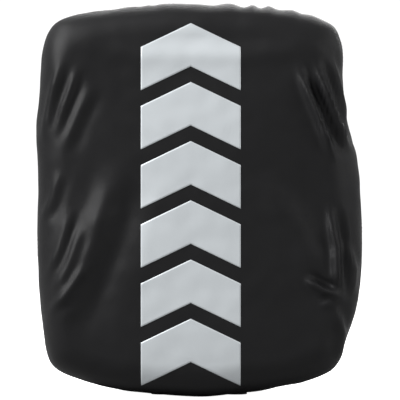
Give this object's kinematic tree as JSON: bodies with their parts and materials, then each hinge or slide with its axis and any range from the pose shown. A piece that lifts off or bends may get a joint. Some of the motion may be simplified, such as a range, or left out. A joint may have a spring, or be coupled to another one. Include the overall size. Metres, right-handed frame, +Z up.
{
  "type": "tail bag",
  "caption": "Upright motorcycle tail bag, packed full, under a fitted rain cover with a reflective chevron band and an elastic hem.",
  "frame": {"origin": "middle of the flat patch that the bag rests on, at the floor", "axes": "+Z up, -Y the printed face that looks back along the road, +Y the face that is strapped to the backrest, +X to the right seen from behind the motorcycle"},
  "size_m": [0.356, 0.2197, 0.43],
  "materials": {
    "cover_cloth": "coated nylon, semi-matt, creased",
    "film": "reflective silver transfer",
    "bag_cloth": "coarse woven polyester",
    "lining": "thin grey woven lining",
    "boot": "coated abrasion cloth, matt",
    "feet": "moulded, matt",
    "board": "stiffener board",
    "mesh_pad": "spacer mesh over foam",
    "webbing": "ribbed polyester webbing",
    "hard_plastic": "moulded acetal",
    "elastic": "braided elastic",
    "steel": "plated steel wire",
    "zip_metal": "black nickel plated",
    "zip_coil": "nylon coil",
    "piping": "vinyl piping",
    "grip": "soft ribbed grip"
  },
  "bodies": {
    "bag": {"bag_shell": "bag_cloth", "bag_top_panel": "bag_cloth", "bag_lining": "lining", "base_boot": "boot", "base_feet": "feet", "front_piping": "piping", "back_piping": "piping", "base_board": "board", "frame_sheet": "board", "top_zip_tape": "webbing", "top_zip_coil": "zip_coil", "front_pocket": "bag_cloth", "pocket_zip_tape": "webbing", "pocket_zip_coil": "zip_coil", "back_panel": "bag_cloth", "back_pads": "mesh_pad", "handle_tabs": "webbing", "d_ring_tabs": "webbing", "strap_lower_left": "webbing", "strap_lower_right": "webbing", "buckle_female_lower": "hard_plastic", "strap_keeper_lower": "webbing", "strap_upper_left": "webbing", "strap_upper_right": "webbing", "buckle_female_upper": "hard_plastic", "strap_keeper_upper": "webbing"},
    "rain_cover": {"cover_front_panel": "cover_cloth", "cover_side_band": "cover_cloth", "cover_gathered_skirt": "cover_cloth", "hem_tunnel": "cover_cloth", "hem_elastic": "elastic", "hem_eyelets": "zip_metal", "reflective_chevrons": "film", "cord_lock_barrel": "hard_plastic", "cord_lock_spring": "steel", "cord_end_clip": "hard_plastic"},
    "cord_lock_plunger": {"cord_lock_plunger": "hard_plastic"},
    "top_zip_slider": {"top_zip_slider": "zip_metal"},
    "top_zip_pull": {"top_zip_pull": "zip_metal"},
    "pocket_zip_slider": {"pocket_zip_slider": "zip_metal"},
    "pocket_zip_pull": {"pocket_zip_pull": "zip_metal"},
    "grab_handle": {"handle_core": "webbing", "handle_grip": "grip"},
    "d_ring_lower_left": {"d_ring_lower_left": "steel"},
    "d_ring_lower_right": {"d_ring_lower_right": "steel"},
    "buckle_male_lower": {"buckle_male_lower": "hard_plastic"},
    "d_ring_upper_left": {"d_ring_upper_left": "steel"},
    "d_ring_upper_right": {"d_ring_upper_right": "steel"},
    "buckle_male_upper": {"buckle_male_upper": "hard_plastic"}
  },
  "joints": [
    {"name": "cover_off", "type": "slide", "parent": "bag", "child": "rain_cover", "axis": [0, -1, 0], "range_m": [0, 0.4], "deforming": ["cover_gathered_skirt", "hem_tunnel", "hem_elastic", "hem_eyelets", "cord_lock_barrel", "cord_lock_spring", "cord_end_clip", "cord_lock_plunger"]},
    {"name": "cord_lock_press", "type": "slide", "parent": "rain_cover", "child": "cord_lock_plunger", "axis": [-1, 0, 0], "range_m": [0, 0.0012], "stiffness_N_per_m": 500, "deforming": ["cord_lock_spring"]},
    {"name": "handle_swing", "type": "hinge", "parent": "bag", "child": "grab_handle", "pos_m": [0, 0.0985, 0.35], "axis": [1, 0, 0], "range_deg": [0, 120]},
    {"name": "d_ring_lower_left_swing", "type": "hinge", "parent": "bag", "child": "d_ring_lower_left", "pos_m": [-0.11, 0.0959, 0.1], "axis": [1, 0, 0], "range_deg": [0, 150]},
    {"name": "d_ring_lower_right_swing", "type": "hinge", "parent": "bag", "child": "d_ring_lower_right", "pos_m": [0.11, 0.0959, 0.1], "axis": [1, 0, 0], "range_deg": [0, 150]},
    {"name": "d_ring_upper_left_swing", "type": "hinge", "parent": "bag", "child": "d_ring_upper_left", "pos_m": [-0.11, 0.0959, 0.325], "axis": [1, 0, 0], "range_deg": [0, 150]},
    {"name": "d_ring_upper_right_swing", "type": "hinge", "parent": "bag", "child": "d_ring_upper_right", "pos_m": [0.11, 0.0959, 0.325], "axis": [1, 0, 0], "range_deg": [0, 150]},
    {"name": "buckle_lower_release", "type": "slide", "parent": "bag", "child": "buckle_male_lower", "axis": [-1, 0, 0], "range_m": [0, 0.036], "deforming": ["strap_lower_left"]},
    {"name": "buckle_upper_release", "type": "slide", "parent": "bag", "child": "buckle_male_upper", "axis": [-1, 0, 0], "range_m": [0, 0.036], "deforming": ["strap_upper_left"]},
    {"name": "top_zip_run", "type": "slide", "parent": "bag", "child": "top_zip_slider", "axis": [-1, 0, 0], "range_m": [0, 0.16]},
    {"name": "top_zip_pull_lift", "type": "hinge", "parent": "top_zip_slider", "child": "top_zip_pull", "pos_m": [0.08, 0.002, 0.4044], "axis": [0, -1, 0], "range_deg": [0, 30]},
    {"name": "pocket_zip_run", "type": "slide", "parent": "bag", "child": "pocket_zip_slider", "axis": [-1, 0, 0], "range_m": [0, 0.16]},
    {"name": "pocket_zip_pull_lift", "type": "hinge", "parent": "pocket_zip_slider", "child": "pocket_zip_pull", "pos_m": [0.08, -0.0942, 0.236], "axis": [-1, 0, 0], "range_deg": [0, 14]}
  ]
}
